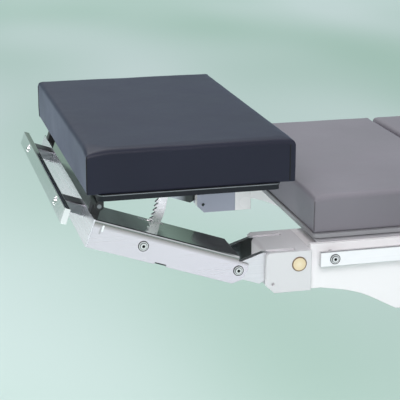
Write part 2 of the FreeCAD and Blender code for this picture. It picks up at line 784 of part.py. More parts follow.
def seat_crossbeams():
    """Two deep beams that hang the table top on the shafts of the tilt cross."""
    low = tilt_z - cross_half_z
    half = [(side_inner, board_bottom), (side_inner, seat_shoulder), (beam_shoulder_half, beam_shoulder),
            (beam_foot_half, low)]
    outline = half + [(-y, z) for y, z in reversed(half)]
    beams = []
    for x0 in (column_x + beam_near, column_x - beam_near - beam_thick):
        x1 = x0 + beam_thick
        bearing = rod_x(0.0, tilt_z, tilt_shaft + running_clearance, x0, x1)
        beams.append(prism_yz(outline, x0, x1).cut(bearing))
    export("seat_crossbeams", group(beams))


def leg_section(name, side):
    """One split leg plate: hinge block, board with its steel arm, and pad."""
    def place(shape):
        return shape if side > 0 else mirrored(shape)

    x = leg_hinge_x
    z = leg_hinge_z
    block = fuse([rod_y(x, z, lug_radius, lug_inner, lug_outer),
                  prism_xz([(x - 12.0, z - 16.0), (x + 4.0, ear_low[0]), (pivot_x, ear_low[0]),
                            (pivot_x, ear_high[1]), (x + 30.0, z + 10.0), (x, z + lug_radius)],
                           lug_inner, lug_outer)]
                 + [rod_z(pivot_x, pivot_y, ear_radius, low, high) for low, high in (ear_low, ear_high)])
    window = box(pivot_x - window_front, pivot_x + window_back, lug_inner - 1.0, pivot_y + ear_radius + 1.0,
                 ear_low[1], ear_high[0])
    bore = rod_y(x, z, pin_radius + running_clearance, lug_inner, lug_outer)
    pivot_bore = rod_z(pivot_x, pivot_y, pivot_radius, ear_low[0], ear_high[1])
    pivot = rod_z(pivot_x, pivot_y, pivot_radius, ear_low[0], ear_high[1])
    block = cut(block, [window, bore, pivot_bore])
    export("leg_hinge_block_" + name, place(fuse([block, pivot])))
    start = pivot_x - 8.0
    reach = pivot_x + 30.0
    arm = prism_xy([(start, pivot_y - 8.0), (pivot_x + 2.0, pivot_y + 10.0), (pivot_x + 12.0, pivot_y),
                    (reach, board_half), (reach, board_half - 6.0), (start, board_half - 6.0)], *eye)
    ring = rod_z(pivot_x, pivot_y, ear_radius, *eye)
    beam_end = start + 2 * leg_beam_half
    beam = box(start, beam_end, leg_beam_start, board_half, eye[0], board_bottom)
    leg_board = box(x + leg_board_start, leg_end_x, leg_board_split, pad_half - 2.0, board_bottom, pad_bottom)
    leg_board = soften(leg_board, leg_board_corner, is_vertical)
    runner = box(beam_end, leg_end_x - leg_runner_end, leg_runner_inner, leg_runner_outer,
                 board_bottom - leg_runner_depth, board_bottom)
    eye_bore = rod_z(pivot_x, pivot_y, pivot_radius + running_clearance, *eye)
    export("leg_board_" + name, place(leg_board))
    export("leg_arm_" + name, place(fuse([arm, ring, beam, runner]).cut(eye_bore)))
    export("leg_pad_" + name, place(cushion(x + leg_gap, leg_end_x, leg_split, pad_half, "round")))


def tilt_head():
    """Cross with two pairs of shafts, in a fork on top of the column."""
    x = column_x
    cross = box(x - cross_half_x, x + cross_half_x, -cross_half_y, cross_half_y, tilt_z - cross_half_z,
                tilt_z + cross_half_z)
    cross = soften(cross, cross_corner, is_vertical)
    reach = beam_near + beam_thick + shaft_end
    fork_outer = fork_inner + fork_thick
    shafts = [rod_x(0.0, tilt_z, tilt_shaft, x - reach, x + reach),
              rod_y(x, tilt_z, tilt_shaft, -fork_outer, fork_outer)]
    export("tilt_cross", fuse([cross] + shafts))
    half = [(fork_half + fork_spread, head_plate_top), (fork_half, tilt_z),
            (fork_half - fork_shoulder, tilt_z + fork_crown)]
    outline = [(x + reach, z) for reach, z in half] + [(x - reach, z) for reach, z in reversed(half)]
    upright = prism_xz(outline, fork_inner, fork_outer)
    upright = upright.cut(rod_y(x, tilt_z, tilt_shaft + running_clearance, fork_inner, fork_outer))
    half_x = sleeve_half_x + 2 * (sleeve_wall + sleeve_play)
    half_y = sleeve_half_y + 2 * (sleeve_wall + sleeve_play)
    plate = rounded_plate(x - half_x, x + half_x, half_y, head_plate_top - head_plate_thick, head_plate_top,
                          sleeve_corner)
    export("column_head", fuse([plate, upright, mirrored(upright)]))


def tube(half_x, half_y, z0, z1):
    """Rounded rectangular sleeve of the column cover."""
    x = column_x
    outer = rounded_plate(x - half_x, x + half_x, half_y, z0, z1, sleeve_corner)
    inner_x = half_x - sleeve_wall
    inner_y = half_y - sleeve_wall
    return outer.cut(rounded_plate(x - inner_x, x + inner_x, inner_y, z0, z1, sleeve_corner - sleeve_wall))


def sleeve_with_runners(half_x, half_y, z0, z1):
    """Sleeve with four slide strips near its top, a running gap clear of the next sleeve."""
    strips = []
    for side in (-1.0, 1.0):
        y = side * (half_y + runner_thick / 2)
        x = column_x + side * (half_x + runner_thick / 2)
        strips.append(box(column_x - runner_half, column_x + runner_half, y - runner_thick / 2,
                          y + runner_thick / 2, z1 - runner_drop, z1 - runner_top))
        strips.append(box(x - runner_thick / 2, x + runner_thick / 2, -runner_half, runner_half,
                          z1 - runner_drop, z1 - runner_top))
    return fuse([tube(half_x, half_y, z0, z1)] + strips)


def column():
    """Lifting post in its guide, inside three telescoping sleeves."""
    step = sleeve_wall + sleeve_play
    export("sleeve_lower", sleeve_with_runners(sleeve_half_x, sleeve_half_y, hump_top, lower_sleeve_top))
    export("sleeve_middle", sleeve_with_runners(sleeve_half_x + step, sleeve_half_y + step, *middle_sleeve))
    export("sleeve_upper", tube(sleeve_half_x + 2 * step, sleeve_half_y + 2 * step, upper_sleeve_bottom,
                                head_plate_top - head_plate_thick))
    export("lift_post", rod_z(column_x, 0.0, post_radius, post_bottom, head_plate_top - head_plate_thick))
    bore = post_radius + running_clearance
    guide = rod_z(column_x, 0.0, post_radius + guide_wall, guide_bottom, guide_top)
    export("lift_guide", guide.cut(rod_z(column_x, 0.0, bore, guide_bottom, guide_top)))


def base_outline(inset):
    """Plan of the base: a spine with a cross foot at each end."""
    front = base_front + inset
    back = base_back - inset
    half = base_half - inset
    spine = spine_half - inset
    front_inner = base_front + cross_foot - inset
    back_inner = base_back - cross_foot + inset
    return [(front, -half), (front_inner, -half), (front_inner, -spine), (back_inner, -spine), (back_inner, -half),
            (back, -half), (back, half), (back_inner, half), (back_inner, spine), (front_inner, spine),
            (front_inner, half), (front, half)]


def base():
    """Steel chassis, cover and levelling feet."""
    chassis = prism_xy(base_outline(cover_wall), chassis_bottom, chassis_top)
    guide = rod_z(column_x, 0.0, post_radius + guide_wall, guide_bottom, chassis_top + 1.0)
    posts = [rod_z(x, y, castor_post + running_clearance, chassis_bottom, chassis_bottom + castor_post_depth)
             for x, y in castor_places]
    export("base_chassis", cut(chassis, [guide] + posts))
    cover_top = chassis_top + cover_crown
    cover = soften(prism_xy(base_outline(0.0), chassis_bottom - cover_skirt, cover_top), cover_edge,
                   lambda b: b.ZMin > cover_top - 0.01)
    hump = rounded_plate(column_x - hump_half_x, column_x + hump_half_x, hump_half_y, chassis_top, hump_top,
                         hump_corner)
    cover = fuse([cover, hump])
    below_cover = prism_xy(base_outline(cover_wall), chassis_bottom - cover_skirt - 1.0, chassis_top)
    well = rod_z(column_x, 0.0, post_radius + guide_wall, chassis_top - 1.0, hump_top + 1.0)
    export("base_cover", cut(cover, [below_cover, well]))
    feet = []
    for x, y in foot_places:
        feet.append(fuse([rod_z(x, y, foot_radius, 0.0, foot_thick),
                          rod_z(x, y, foot_stem, foot_thick, chassis_bottom)]))
    export("base_feet", group(feet))


def castor(index, x, y):
    """Swivel castor with twin wheels."""
    centre_z = wheel_radius + wheel_lift
    axle_x = x + castor_trail
    web = wheel_gap
    web_top = castor_plate_bottom + 2.0
    web_outline = [(x - 14.0, web_top), (x + castor_plate_radius, web_top), (axle_x + 12.0, centre_z + 6.0),
                   (axle_x + 6.0, centre_z - 9.0), (axle_x - 8.0, centre_z - 8.0)]
    fork = fuse([rod_z(x, y, castor_post, web_top, chassis_bottom + castor_post_depth - castor_play),
                 rod_z(x, y, castor_plate_radius, castor_plate_bottom, chassis_bottom - castor_play),
                 prism_xz(web_outline, y - web, y + web)])
    bore = rod_y(axle_x, centre_z, axle_radius + running_clearance, y - web, y + web)
    export("castor_fork_%d" % index, fork.cut(bore))
    inner = web + castor_play
    wheels = []
    for side in (-1, 1):
        low = min(side * inner, side * (inner + wheel_width))
        wheel = rod_y(axle_x, centre_z, wheel_radius, y + low, y + low + wheel_width)
        wheels.append(bevel(wheel, wheel_chamfer, lambda b: b.YLength < 0.1 and abs(b.YMin - y) > wheel_width))
    axle = rod_y(axle_x, centre_z, axle_radius, y - inner - 1.0, y + inner + 1.0)
    export("castor_wheels_%d" % index, fuse(wheels + [axle]))


head_plate()
head_hinges()
quadrants()
head_arms()
head_crossmember()
cranked_levers()
head_rail()
pawls()
knuckles()
back_sides()
back_section()
seat_section()
seat_crossbeams()
leg_section("near", -1)
leg_section("far", 1)
tilt_head()
column()
base()
for castor_index, castor_place in enumerate(castor_places):
    castor(castor_index + 1, *castor_place)
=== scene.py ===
"""Looks of the operating table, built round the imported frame: upholstery, materials, light and camera."""
import json
import math

import bmesh
import bpy
import numpy as np
from mathutils import Matrix, Vector
from mathutils.bvhtree import BVHTree


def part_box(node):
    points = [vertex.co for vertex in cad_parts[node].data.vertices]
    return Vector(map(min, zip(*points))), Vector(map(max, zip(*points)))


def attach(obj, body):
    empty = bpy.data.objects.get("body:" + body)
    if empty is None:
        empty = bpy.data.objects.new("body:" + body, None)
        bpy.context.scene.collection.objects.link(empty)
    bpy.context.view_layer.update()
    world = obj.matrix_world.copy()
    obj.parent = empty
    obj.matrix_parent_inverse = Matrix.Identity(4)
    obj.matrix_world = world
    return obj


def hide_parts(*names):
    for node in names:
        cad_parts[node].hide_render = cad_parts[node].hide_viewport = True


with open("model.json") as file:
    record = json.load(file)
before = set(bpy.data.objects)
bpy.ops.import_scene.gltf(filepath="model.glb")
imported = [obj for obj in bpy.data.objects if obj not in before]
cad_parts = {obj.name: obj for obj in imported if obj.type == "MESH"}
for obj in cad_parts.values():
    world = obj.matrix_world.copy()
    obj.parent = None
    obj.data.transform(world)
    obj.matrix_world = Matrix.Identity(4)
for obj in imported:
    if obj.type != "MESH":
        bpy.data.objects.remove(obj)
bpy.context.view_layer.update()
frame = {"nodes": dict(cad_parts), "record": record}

# Camera of the photograph, in metres and degrees
CAMERA_PLACE = Vector((-1.3015, -2.1598, 1.5017))
CAMERA_AZIMUTH = -14.37
CAMERA_ELEVATION = 16.77
CAMERA_ROLL = 0.12
CAMERA_LENS = 116.8

# Sky, and the floor: its half width, the slant of its painted soft bands of light, and a painted glow that
# grows behind the table
SKY_STRENGTH = 0.75
FLOOR_REACH = 30.0
FLOOR_SLANT = math.radians(20.0)
FAR_GLOW = 0.15
GLOW_REACH = (1.0, 8.0)

# Directions along the table towards its foot end, and across it towards the far side
ALONG = Vector((1.0, 0.0, 0.0))
ACROSS = Vector((0.0, 1.0, 0.0))
SIDES = (("near", -1.0), ("far", 1.0))

# Eased edges of metal and painted pieces, in metres
EASED_METAL = 0.0006
EASED_PAINT = 0.0018

# Values between which most of a noise lies
NOISE_LOW = 0.3
NOISE_HIGH = 0.7

# Grain of steel: its stretch along each axis, drawn out where the number is small, and its depth in metres
GRAIN_ALONG = (1.0, 60.0, 60.0)
GRAIN_ALONG_COARSE = (1.0, 40.0, 40.0)
GRAIN_ACROSS = (40.0, 1.0, 40.0)
WIPING_MARKS = (3.0, 40.0, 40.0)
GRAIN_DEPTH = 0.00005
FINE_GRAIN_DEPTH = 0.00001

# Folded steel arms: the direction that their polished tops face, and the band below the bend that holds a
# painted highlight and a painted dark reflection
ARM_TILT = math.radians(19.1)
ARM_TOP = Vector((math.sin(ARM_TILT), 0.0, math.cos(ARM_TILT)))
ARM_ALONG = Vector((math.cos(ARM_TILT), 0.0, -math.sin(ARM_TILT)))
BRASS_PIN = Vector((-0.6545, 0.0, 0.7976))
PIN_ABOVE_TOP = 0.0145
PIN_TO_CORNER = 0.3472
ARM_TOP_HEIGHT = ARM_TOP.dot(BRASS_PIN) - PIN_ABOVE_TOP
ARM_CORNER = ARM_ALONG.dot(BRASS_PIN) - PIN_TO_CORNER
PAINTED_BEND_BAND = 0.020

# Painted marks on the side of an arm, as start, end, top and bottom from its corner, and a tone: painted
# shade in a notch, and a grey and a white strip of painted shade and highlight along a small fold
ARM_PAINTED_MARKS = ((0.1155, 0.1345, 0.0424, 0.0446, (0.03, 0.03, 0.035)),
             (0.0135, 0.0165, 0.008, 0.021, (0.50, 0.47, 0.49)),
             (0.0165, 0.0195, 0.006, 0.016, (0.92, 0.90, 0.93)))

# Cosines of faces that look just along a direction, that look about along it, and that look across it
JUST_ALONG = 0.98
ABOUT_ALONG = 0.9
SQUARE_TO = 0.2

# Reach in X over which painted shade grows on the arm tops, and on the inner faces of the levers
TOP_SHADE = (-0.97, -0.78)
LEVER_SHADE = (-0.752, -0.728)

# Lever faces further than this from the middle plane are in the open and get no painted reflection, in metres
OPEN_LEVER = 0.25

# Heads of the brass pins and of the other screws, in metres from their axis
BRASS_RIM = 0.0109
BRASS_HEAD = 0.0125
SCREW_HEAD = 0.010

# Upholstery, in metres
PAD_CELL = 0.008
CORNER_HOLD = 0.0016
SWELL = 0.0015
CROWN = 0.0012
PAD_EDGE = 0.010
UNDER_EDGE = 0.003
HINGE_EDGE = 0.020
HINGE_LEAN = math.tan(math.radians(16.0))
LEAN_REACH = 0.06
CORNER_DROOP = 0.003
HEAD_CORNER_DROOP = 0.0065
DROOP_REACH = 0.05

# Growth of the cushions over their solids at the foot end, the far side and the top, in metres
HEAD_GROWTH = (0.005, 0.004, 0.003)
PAD_GROWTH = (0.0, 0.003, 0.002)

# Cells round an edge, and droop at the foot end as a share of the head end's
EDGE_CELLS = 3
FOOT_CORNER_SHARE = 0.3

# Length that counts as none, in metres
TINY = 1e-9

# Cloth that blows a cushion up: frames, pressure, and how far a point may move, in metres
CLOTH_FRAMES = 20
CLOTH_PRESSURE = 4.0
CLOTH_CAP = 0.0025

# Corner seams, in metres: each is aimed from a little outside at a line just inside the corner; its dark
# thread is painted shade of the seam's groove
THREAD_RADIUS = 0.0009
SEAM_INSET = 0.004
SEAM_VIEW = 0.035
HEAD_SEAM_SETBACK = 0.007

# Points of a seam, and how far it ends below the top as a share of the edge radius there
SEAM_POINTS = 24
SEAM_TOP = 0.75

# Seal strip beside the back boards, in metres: its reach in X, Y and Z, and its rounded edge
SEAL = ((-0.622, 0.030), (0.2582, 0.2680), (0.8270, 0.8296))
SEAL_EDGE = 0.0008

# Small screw in the inner face of a knuckle, in metres: its place in X and Z, the knuckle's width, its turned
# profile as radius and height above the face, its number of sides, and the distance within which points join
KNUCKLE_SCREW = (-0.6985, 0.7669)
KNUCKLE_WIDTH = 0.113
SCREW_PROFILE = ((0.0, 0.0002), (0.0011, 0.0002), (0.0012, 0.0009), (0.0025, 0.0010), (0.0029, 0.0007),
                 (0.0030, 0.0), (0.0030, -0.0003), (0.0, -0.0003))
SCREW_SIDES = 24
WELD = 0.00001


# Objects and meshes

def link(obj):
    bpy.context.scene.collection.objects.link(obj)
    return obj


def built(name, builder):
    """Object made of what a mesh builder holds."""
    mesh = bpy.data.meshes.new(name)
    builder.to_mesh(mesh)
    builder.free()
    return link(bpy.data.objects.new(name, mesh))


def coordinates(piece):
    points = np.zeros(len(piece.data.vertices) * 3)
    piece.data.vertices.foreach_get("co", points)
    return points.reshape(-1, 3)


def store(piece, points):
    piece.data.vertices.foreach_set("co", points.astype(np.float32).ravel())
    piece.data.update()


def as_mesh(obj):
    """Mesh of a curve, or of a piece with its modifiers applied."""
    return bpy.data.meshes.new_from_object(obj.evaluated_get(bpy.context.evaluated_depsgraph_get()))


def apply_modifiers(piece):
    mesh = as_mesh(piece)
    piece.modifiers.clear()
    piece.data = mesh


def smooth(mesh):
    mesh.polygons.foreach_set("use_smooth", [True] * len(mesh.polygons))


# Materials

def fill_ramp(node, tones):
    """Set the colours of a ramp by a list of places and colours."""
    elements = node.color_ramp.elements
    for element, (place, tone) in ((elements[1], tones[-1]), (elements[0], tones[0])):
        element.position = place
        element.color = (*tone, 1.0)
    for place, tone in tones[1:-1]:
        elements.new(place).color = (*tone, 1.0)


class Material:
    """A Principled material with small helpers for its procedural nodes."""

    def __init__(self, name, colour, roughness, metallic=0.0):
        self.material = bpy.data.materials.new(name)
        self.material.use_nodes = True
        self.nodes = self.material.node_tree.nodes
        self.links = self.material.node_tree.links
        self.shader = self.nodes["Principled BSDF"]
        self.shader.inputs["Base Color"].default_value = (*colour, 1.0)
        self.shader.inputs["Roughness"].default_value = roughness
        self.shader.inputs["Metallic"].default_value = metallic
        self.normal = None

    def place(self, stretch=(1.0, 1.0, 1.0), turn=0.0):
        """Object coordinates, turned about Y and stretched along each axis."""
        coordinates = self.nodes.new("ShaderNodeTexCoord")
        mapping = self.nodes.new("ShaderNodeMapping")
        mapping.inputs["Scale"].default_value = stretch
        mapping.inputs["Rotation"].default_value = (0.0, turn, 0.0)
        self.links.new(coordinates.outputs["Object"], mapping.inputs["Vector"])
        return mapping.outputs["Vector"]

    def noise(self, scale, detail, stretch=(1.0, 1.0, 1.0), turn=0.0):
        node = self.nodes.new("ShaderNodeTexNoise")
        node.inputs["Scale"].default_value = scale
        node.inputs["Detail"].default_value = detail
        self.links.new(self.place(stretch, turn), node.inputs["Vector"])
        return node.outputs["Fac"]

    def cells(self, scale):
        """Distance from the borders of a pattern of small cells."""
        node = self.nodes.new("ShaderNodeTexVoronoi")
        node.feature = "DISTANCE_TO_EDGE"
        node.inputs["Scale"].default_value = scale
        self.links.new(self.place(), node.inputs["Vector"])
        return node.outputs["Distance"]

    def measured(self, operation, vector, stretch=(1.0, 1.0, 1.0)):
        """Dot product of the place with a vector, or its distance from one, in metres."""
        node = self.nodes.new("ShaderNodeVectorMath")
        node.operation = operation
        node.inputs[1].default_value = vector
        self.links.new(self.place(stretch), node.inputs[0])
        return node.outputs["Value"]

    def along(self, axis):
        """Place along a direction, in metres."""
        return self.measured("DOT_PRODUCT", axis)

    def ranged(self, value, start, end, low=0.0, high=1.0):
        """Value that goes from low to high while another goes from start to end."""
        node = self.nodes.new("ShaderNodeMapRange")
        node.inputs["From Min"].default_value = start
        node.inputs["From Max"].default_value = end
        node.inputs["To Min"].default_value = low
        node.inputs["To Max"].default_value = high
        self.links.new(value, node.inputs["Value"])
        return node.outputs["Result"]

    def within(self, value, middle, reach):
        """One where a value lies within reach of a middle, else zero."""
        node = self.nodes.new("ShaderNodeMath")
        node.operation = "COMPARE"
        node.inputs[1].default_value = middle
        node.inputs[2].default_value = reach
        self.links.new(value, node.inputs[0])
        return node.outputs["Value"]

    def times(self, first, second):
        node = self.nodes.new("ShaderNodeMath")
        node.operation = "MULTIPLY"
        self.links.new(first, node.inputs[0])
        self.links.new(second, node.inputs[1])
        return node.outputs["Value"]

    def ramp(self, value, tones, stepped=False):
        """Colour from a value between zero and one, by a list of places and colours."""
        node = self.nodes.new("ShaderNodeValToRGB")
        if stepped:
            node.color_ramp.interpolation = "CONSTANT"
        fill_ramp(node, tones)
        self.links.new(value, node.inputs["Fac"])
        return node.outputs["Color"]

    def marked(self, colour, mark, tone):
        """Colour that gives way to another tone where there is a mark."""
        node = self.nodes.new("ShaderNodeMix")
        node.data_type = "RGBA"
        self.links.new(mark, node.inputs["Factor"])
        self.links.new(colour, node.inputs["A"])
        node.inputs["B"].default_value = (*tone, 1.0)
        return node.outputs["Result"]

    def coloured(self, colour):
        """Feed a colour to the shader."""
        self.links.new(colour, self.shader.inputs["Base Color"])

    def colours(self, value, first, second, start=NOISE_LOW, end=NOISE_HIGH):
        """Colour that goes from one tone to another while a value goes from start to end."""
        self.coloured(self.ramp(value, [(start, first), (end, second)]))

    def roughness(self, value, low, high):
        self.links.new(self.ranged(value, NOISE_LOW, NOISE_HIGH, low, high), self.shader.inputs["Roughness"])

    def eased(self, radius):
        """Rounded look on the sharp edges of a piece."""
        node = self.nodes.new("ShaderNodeBevel")
        node.samples = 4
        node.inputs["Radius"].default_value = radius
        self.normal = node.outputs["Normal"]

    def bump(self, value, distance, strength):
        node = self.nodes.new("ShaderNodeBump")
        node.inputs["Strength"].default_value = strength
        node.inputs["Distance"].default_value = distance
        self.links.new(value, node.inputs["Height"])
        if self.normal is not None:
            self.links.new(self.normal, node.inputs["Normal"])
        self.normal = node.outputs["Normal"]
        self.links.new(self.normal, self.shader.inputs["Normal"])

    def set(self, **sockets):
        for name, value in sockets.items():
            self.shader.inputs[name.replace("_", " ")].default_value = value


def vinyl(name, light, dark, roughness, gloss, sheen, tint):
    """Upholstery vinyl: a fine pebbled grain, slow colour drift and a soft sheen."""
    made = Material(name, light, roughness)
    made.colours(made.noise(scale=5.0, detail=2.0), dark, light)
    made.roughness(made.noise(scale=14.0, detail=4.0), roughness - 0.04, roughness + 0.05)
    made.bump(made.cells(scale=1100.0), distance=0.00012, strength=0.35)
    made.bump(made.noise(scale=38.0, detail=2.0), distance=0.0006, strength=0.12)
    made.set(Specular_IOR_Level=gloss, Sheen_Weight=sheen, Sheen_Roughness=0.4, Sheen_Tint=(*tint, 1.0))
    return made.material


def moulded(name, light, dark, roughness, gloss=0.5):
    """Moulded board edge with a faint grain."""
    made = Material(name, light, roughness)
    made.set(Specular_IOR_Level=gloss)
    made.colours(made.noise(scale=9.0, detail=3.0), dark, light)
    made.roughness(made.noise(scale=30.0, detail=4.0), roughness - 0.05, roughness + 0.08)
    made.bump(made.noise(scale=900.0, detail=2.0), distance=0.00008, strength=0.4)
    return made.material


def brushed(name, light, dark, roughness, stretch, depth=FINE_GRAIN_DEPTH, metallic=1.0):
    """Brushed steel with streaks along one axis."""
    made = Material(name, light, roughness, metallic)
    made.eased(EASED_METAL)
    streaks = made.noise(scale=6.0, detail=6.0, stretch=stretch)
    made.colours(streaks, dark, light, start=0.25, end=0.75)
    made.roughness(streaks, roughness - 0.06, roughness + 0.08)
    made.bump(streaks, depth, strength=0.5)
    return made.material


def polished(name, colour, roughness):
    """Polished steel with faint wiping marks."""
    made = Material(name, colour, roughness, metallic=1.0)
    made.eased(EASED_METAL)
    marks = made.noise(scale=4.0, detail=5.0, stretch=WIPING_MARKS)
    made.roughness(marks, roughness * 0.6, roughness * 1.6)
    made.bump(marks, distance=0.00003, strength=0.3)
    return made.material


def screw_steel(name):
    """Turned screws and washers, with painted shade by the distance from the screw's axis: a black socket,
    and dark rings at the join of head and washer and round the rim.
    """
    made = Material(name, (0.7, 0.7, 0.72), roughness=0.28, metallic=0.8)
    distance = made.nodes.new("ShaderNodeAttribute")
    distance.attribute_name = "radial"
    share = made.ranged(distance.outputs["Fac"], 0.0, SCREW_HEAD)
    # Painted shade: black in the socket, dark rings at the join of head and washer and round the rim
    greys_with_shade = ((0.0, 0.004), (0.27, 0.70), (0.50, 0.10), (0.59, 0.72), (0.73, 0.015))
    made.coloured(made.ramp(share, [(place, (grey, grey, grey)) for place, grey in greys_with_shade], stepped=True))
    made.bump(made.noise(scale=500.0, detail=3.0), distance=0.00003, strength=0.3)
    return made.material


def folded_side(name):
    """Upright side of an arm: brushed, with a painted highlight at the bend at its top, a painted dark
    reflection in a soft band below it, and painted marks of shade and highlight.
    """
    made = Material(name, (0.80, 0.76, 0.81), roughness=0.26, metallic=1.0)
    made.eased(EASED_METAL)
    height = made.along(ARM_TOP)
    reach = made.along(ARM_ALONG)
    # Painted highlight just below the bend, then a painted dark reflection that fades back to the brushed
    # tone
    tones = [(0.0, (0.80, 0.78, 0.78)), (0.10, (0.74, 0.71, 0.71)), (0.17, (0.22, 0.20, 0.19)),
             (0.32, (0.36, 0.33, 0.33)), (0.62, (0.69, 0.64, 0.69))]
    colour = made.ramp(made.ranged(height, ARM_TOP_HEIGHT, ARM_TOP_HEIGHT - PAINTED_BEND_BAND), tones)
    # Painted marks: shade in a notch, and shade and highlight along a small fold
    for start, end, top, bottom, tone in ARM_PAINTED_MARKS:
        sideways = made.within(reach, ARM_CORNER + (start + end) / 2.0, (end - start) / 2.0)
        upwards = made.within(height, ARM_TOP_HEIGHT - (top + bottom) / 2.0, (bottom - top) / 2.0)
        colour = made.marked(colour, made.times(sideways, upwards), tone)
    made.coloured(colour)
    streaks = made.noise(scale=6.0, detail=2.0, stretch=GRAIN_ALONG, turn=-ARM_TILT)
    made.roughness(streaks, 0.24, 0.28)
    made.bump(streaks, distance=0.000004, strength=0.3)
    return made.material


def shaded_steel(name):
    """Polished steel with a painted dark reflection of the channel of an arm in its colour, ever darker
    towards the knuckle.
    """
    made = Material(name, (0.06, 0.065, 0.065), roughness=0.2, metallic=1.0)
    made.eased(EASED_METAL)
    shade = made.ranged(made.along(ALONG), *LEVER_SHADE)
    # Painted dark reflection, growing towards the knuckle
    made.colours(shade, (0.42, 0.44, 0.48), (0.05, 0.056, 0.055), start=0.0, end=1.0)
    marks = made.noise(scale=6.0, detail=5.0, stretch=GRAIN_ALONG)
    made.roughness(marks, 0.16, 0.24)
    made.bump(marks, FINE_GRAIN_DEPTH, strength=0.3)
    return made.material


def mirror(name):
    """Polished top of an arm, whose foot end lies in the shade of the cushion above it; that shade is painted
    into its colour.
    """
    made = Material(name, (0.80, 0.82, 0.82), roughness=0.07, metallic=1.0)
    made.eased(EASED_METAL)
    shade = made.ranged(made.along(ALONG), *TOP_SHADE)
    # Painted shade: near white at the head end, near black at the foot end
    made.colours(shade, (0.98, 1.0, 0.98), (0.03, 0.045, 0.04), start=0.36, end=0.95)
    marks = made.noise(scale=4.0, detail=5.0, stretch=WIPING_MARKS)
    made.roughness(marks, 0.04, 0.12)
    made.bump(marks, distance=0.00003, strength=0.3)
    return made.material


def paint(name, light, dark, roughness, peel=0.00006, coat=0.0):
    """Stove enamel with slight orange peel."""
    made = Material(name, light, roughness)
    made.eased(EASED_PAINT)
    made.colours(made.noise(scale=2.5, detail=1.0), dark, light)
    made.roughness(made.noise(scale=8.0, detail=1.0), roughness - 0.02, roughness + 0.03)
    made.bump(made.noise(scale=420.0, detail=2.0), peel, strength=0.35)
    made.set(Coat_Weight=coat, Coat_Roughness=0.12)
    return made.material


def brass(name):
    """Turned brass, finely scratched, lighter in the middle and with a dark ring at its rim."""
    made = Material(name, (0.86, 0.72, 0.50), roughness=0.36, metallic=0.6)
    made.eased(EASED_METAL)
    radius = made.measured("DISTANCE", BRASS_PIN, stretch=(1.0, 0.0, 1.0))
    rim = BRASS_RIM / BRASS_HEAD
    tones = [(0.0, (0.93, 0.80, 0.60)), (0.55, (0.86, 0.70, 0.47)), (rim - 0.04, (0.82, 0.66, 0.44)),
             (rim, (0.22, 0.14, 0.09))]
    made.coloured(made.ramp(made.ranged(radius, 0.0, BRASS_HEAD), tones))
    made.roughness(made.noise(scale=90.0, detail=5.0), 0.28, 0.46)
    made.bump(made.noise(scale=700.0, detail=3.0), distance=0.00004, strength=0.4)
    return made.material


def rubber(name, light, dark):
    made = Material(name, light, roughness=0.75)
    made.colours(made.noise(scale=25.0, detail=4.0), dark, light)
    made.bump(made.noise(scale=600.0, detail=3.0), distance=0.0001, strength=0.5)
    return made.material


# Finish, the function that makes it, its light tone, its dark tone and what else that function asks for
TONED_FINISHES = (
    ("vinyl_slate", vinyl, (0.013, 0.014, 0.029), (0.010, 0.011, 0.023),
     {"roughness": 0.47, "gloss": 0.26, "sheen": 0.13, "tint": (0.55, 0.65, 1.0)}),
    ("vinyl_mauve", vinyl, (0.190, 0.176, 0.200), (0.168, 0.156, 0.177),
     {"roughness": 0.42, "gloss": 0.42, "sheen": 0.15, "tint": (0.80, 0.72, 1.0)}),
    ("board_dark", moulded, (0.014, 0.016, 0.021), (0.010, 0.011, 0.015), {"roughness": 0.42, "gloss": 0.2}),
    ("board_grey", moulded, (0.30, 0.295, 0.31), (0.25, 0.245, 0.26), {"roughness": 0.38}),
    ("wheel_grey", moulded, (0.18, 0.185, 0.19), (0.12, 0.125, 0.13), {"roughness": 0.45}),
    ("steel_satin", brushed, (0.80, 0.77, 0.80), (0.70, 0.675, 0.70),
     {"roughness": 0.34, "stretch": GRAIN_ALONG, "depth": GRAIN_DEPTH}),
    ("steel_dark", brushed, (0.30, 0.31, 0.33), (0.20, 0.205, 0.22),
     {"roughness": 0.38, "stretch": GRAIN_ALONG_COARSE, "depth": GRAIN_DEPTH}),
    ("steel_side", brushed, (0.82, 0.78, 0.83), (0.78, 0.74, 0.79),
     {"roughness": 0.26, "stretch": GRAIN_ACROSS}),
    ("steel_quadrant", brushed, (0.94, 0.88, 0.93), (0.88, 0.83, 0.87),
     {"roughness": 0.30, "stretch": GRAIN_ACROSS}),
    # Painted light: a lighter, less metallic copy of the rail steel for the upright faces
    ("steel_rail", brushed, (0.93, 0.91, 0.93), (0.88, 0.86, 0.88),
     {"roughness": 0.36, "stretch": GRAIN_ALONG, "metallic": 0.4}),
    ("paint_white", paint, (0.86, 0.83, 0.84), (0.83, 0.80, 0.81), {"roughness": 0.28, "coat": 0.3}),
    ("knuckle_grey", paint, (0.68, 0.665, 0.68), (0.63, 0.615, 0.63),
     {"roughness": 0.38, "peel": 0.00009, "coat": 0.15}),
    # Painted shade: a darker, bluer copy of the knuckle grey for the faces that look inward
    ("knuckle_bare", paint, (0.38, 0.39, 0.48), (0.34, 0.35, 0.43), {"roughness": 0.42, "peel": 0.00009}),
    ("hinge_black", paint, (0.012, 0.012, 0.014), (0.008, 0.008, 0.010), {"roughness": 0.40}),
    ("rubber_black", rubber, (0.026, 0.026, 0.027), (0.016, 0.016, 0.017), {}),
    # Seam threads, darker than their vinyl as painted shade of the seam's groove
    ("seam_dark", rubber, (0.003, 0.003, 0.004), (0.002, 0.002, 0.003), {}),
    ("seam_mauve", rubber, (0.105, 0.098, 0.110), (0.08, 0.075, 0.085), {}),
    ("seal_grey", rubber, (0.36, 0.35, 0.37), (0.32, 0.31, 0.33), {}),
)

